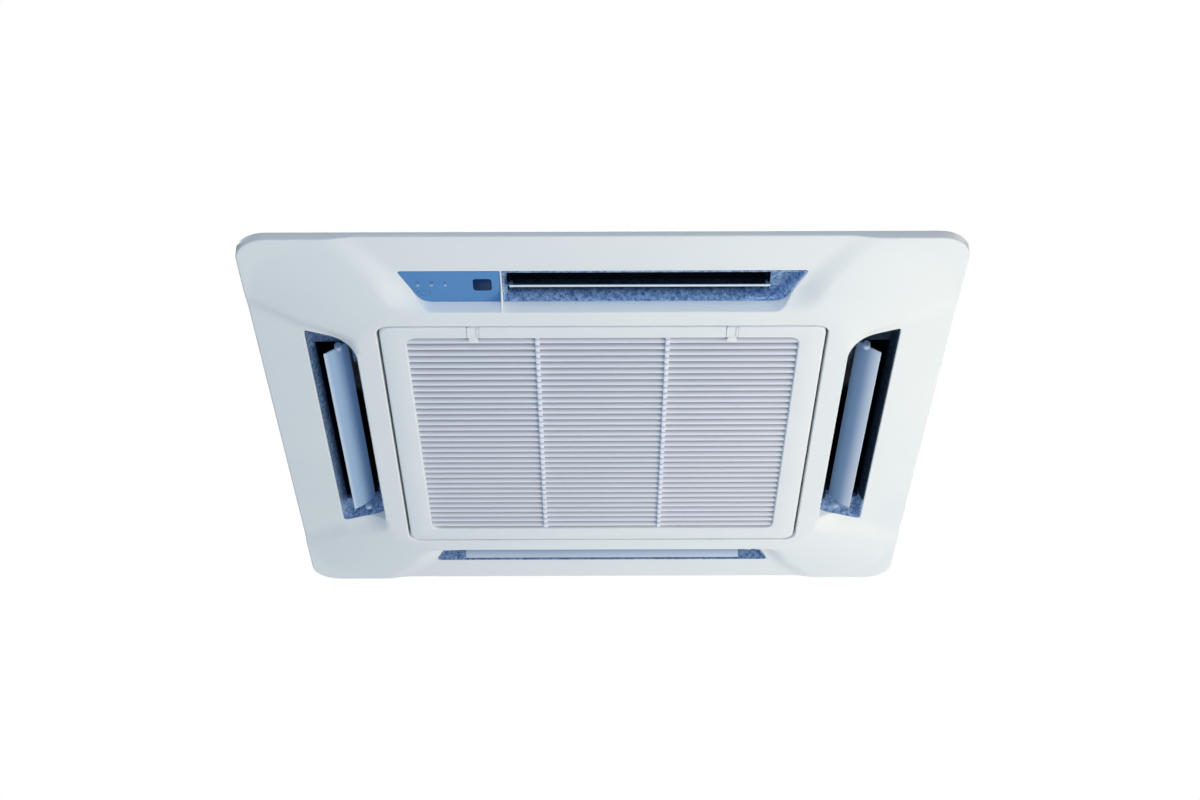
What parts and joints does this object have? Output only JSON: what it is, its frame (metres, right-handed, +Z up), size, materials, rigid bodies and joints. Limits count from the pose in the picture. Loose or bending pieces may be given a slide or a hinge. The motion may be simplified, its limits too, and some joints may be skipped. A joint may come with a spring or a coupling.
{
  "type": "ceiling cassette air conditioner",
  "caption": "Square ceiling cassette air conditioner with a white face panel, blue air outlets with tilting louvers and a hinged slatted return grille.",
  "frame": {"origin": "centre of the face panel on the finished ceiling plane, where the panel's back edge meets the ceiling", "axes": "+Z up into the ceiling; -Y towards the side with the display plate and the grille latches; +X to the right when that side is looked at from below"},
  "size_m": [0.95, 0.95, 0.3005],
  "materials": {
    "aluminium_fins": "bare fins",
    "board_green": "green circuit board",
    "brass": "machined brass",
    "copper": "bare copper tube",
    "display_blue": "satin blue moulding",
    "fan_grey": "satin grey moulding",
    "filter_mesh": "fine woven mesh in a plastic frame",
    "foam_dark": "dark expanded foam",
    "foam_white": "expanded polystyrene",
    "galvanized": "galvanised sheet, dull spangle",
    "grille_white": "satin white moulding",
    "lamp_clear": "clear light guide",
    "louver_white": "satin white moulding",
    "motor_can": "zinc plated can",
    "outlet_blue": "blue flocked foam with a fine speckle",
    "panel_white": "fine satin white moulding",
    "plastic_black": "matt black moulding",
    "plastic_white": "satin white moulding",
    "rubber": "matt black rubber",
    "smoked_lens": "polished smoked window",
    "steel": "zinc plated steel, satin"
  },
  "bodies": {
    "unit": {"bell_mouth": "plastic_black", "casing_side_shell": "galvanized", "casing_top_plate": "galvanized", "coil_header": "copper", "control_board": "board_green", "control_box": "galvanized", "control_box_cover": "galvanized", "display_bezel": "display_blue", "display_board": "board_green", "drain_hose": "rubber", "drain_pan": "foam_dark", "drain_plug": "rubber", "drain_pump": "plastic_white", "drain_socket": "plastic_black", "fan_motor": "motor_can", "float_switch_stem": "plastic_black", "foam_liner": "foam_white", "gas_flare_nut": "brass", "gas_pipe": "copper", "hanger_bracket_far_left": "steel", "hanger_bracket_far_right": "steel", "hanger_bracket_near_left": "steel", "hanger_bracket_near_right": "steel", "heat_exchanger": "aluminium_fins", "hinge_clip_left": "plastic_white", "hinge_clip_right": "plastic_white", "ir_window": "smoked_lens", "lamp_guide": "lamp_clear", "liquid_flare_nut": "brass", "liquid_pipe": "copper", "louver_motor_far": "plastic_white", "louver_motor_left": "plastic_white", "louver_motor_near": "plastic_white", "louver_motor_right": "plastic_white", "outlet_insert_far": "outlet_blue", "outlet_insert_left": "outlet_blue", "outlet_insert_near": "outlet_blue", "outlet_insert_right": "outlet_blue", "panel_frame": "panel_white", "panel_seal": "foam_dark", "pipe_cover_plate": "galvanized", "terminal_block": "plastic_black", "tube_sheet_far": "galvanized", "tube_sheet_right": "galvanized"},
    "fan": {"motor_shaft": "steel", "fan_impeller": "fan_grey", "fan_nut": "steel"},
    "louver_right": {"louver_right": "louver_white"},
    "louver_far": {"louver_far": "louver_white"},
    "louver_left": {"louver_left": "louver_white"},
    "louver_near": {"louver_near": "louver_white"},
    "grille": {"return_grille": "grille_white", "air_filter": "filter_mesh"},
    "latch_left": {"latch_left": "panel_white"},
    "latch_right": {"latch_right": "panel_white"},
    "button": {"manual_button": "display_blue"},
    "pump_wheel": {"pump_impeller": "plastic_black"},
    "float": {"float_switch_float": "plastic_white"}
  },
  "joints": [
    {"name": "fan_spin", "type": "hinge", "parent": "unit", "child": "fan", "pos_m": [0, 0, 0.15], "axis": [0, 0, 1], "continuous": true},
    {"name": "louver_right_tilt", "type": "hinge", "parent": "unit", "child": "louver_right", "pos_m": [0.352, 0, 0.005], "axis": [0, 1, 0], "range_deg": [-30, 40]},
    {"name": "louver_far_tilt", "type": "hinge", "parent": "unit", "child": "louver_far", "pos_m": [0, 0.352, 0.005], "axis": [-1, 0, 0], "range_deg": [-30, 40]},
    {"name": "louver_left_tilt", "type": "hinge", "parent": "unit", "child": "louver_left", "pos_m": [-0.352, 0, 0.005], "axis": [0, -1, 0], "range_deg": [-30, 40]},
    {"name": "louver_near_tilt", "type": "hinge", "parent": "unit", "child": "louver_near", "pos_m": [0, -0.352, 0.005], "axis": [1, 0, 0], "range_deg": [-30, 40]},
    {"name": "grille_swing", "type": "hinge", "parent": "unit", "child": "grille", "pos_m": [0, 0.294, -0.0265], "axis": [1, 0, 0], "range_deg": [0, 90]},
    {"name": "latch_left_slide", "type": "slide", "parent": "grille", "child": "latch_left", "axis": [0, 1, 0], "range_m": [0, 0.008], "stiffness_N_per_m": 120},
    {"name": "latch_right_slide", "type": "slide", "parent": "grille", "child": "latch_right", "axis": [0, 1, 0], "range_m": [0, 0.008], "stiffness_N_per_m": 120},
    {"name": "button_press", "type": "slide", "parent": "unit", "child": "button", "axis": [0, 0, 1], "range_m": [0, 0.0015], "stiffness_N_per_m": 300},
    {"name": "pump_wheel_spin", "type": "hinge", "parent": "unit", "child": "pump_wheel", "pos_m": [-0.30965, 0.30965, 0.06], "axis": [0, 0, 1], "continuous": true},
    {"name": "float_rise", "type": "slide", "parent": "unit", "child": "float", "axis": [0, 0, 1], "range_m": [0, 0.012]}
  ],
  "couplings": [
    {"joint": "louver_far_tilt", "follows": "louver_right_tilt", "ratio": 1},
    {"joint": "louver_left_tilt", "follows": "louver_right_tilt", "ratio": 1},
    {"joint": "louver_near_tilt", "follows": "louver_right_tilt", "ratio": 1}
  ]
}
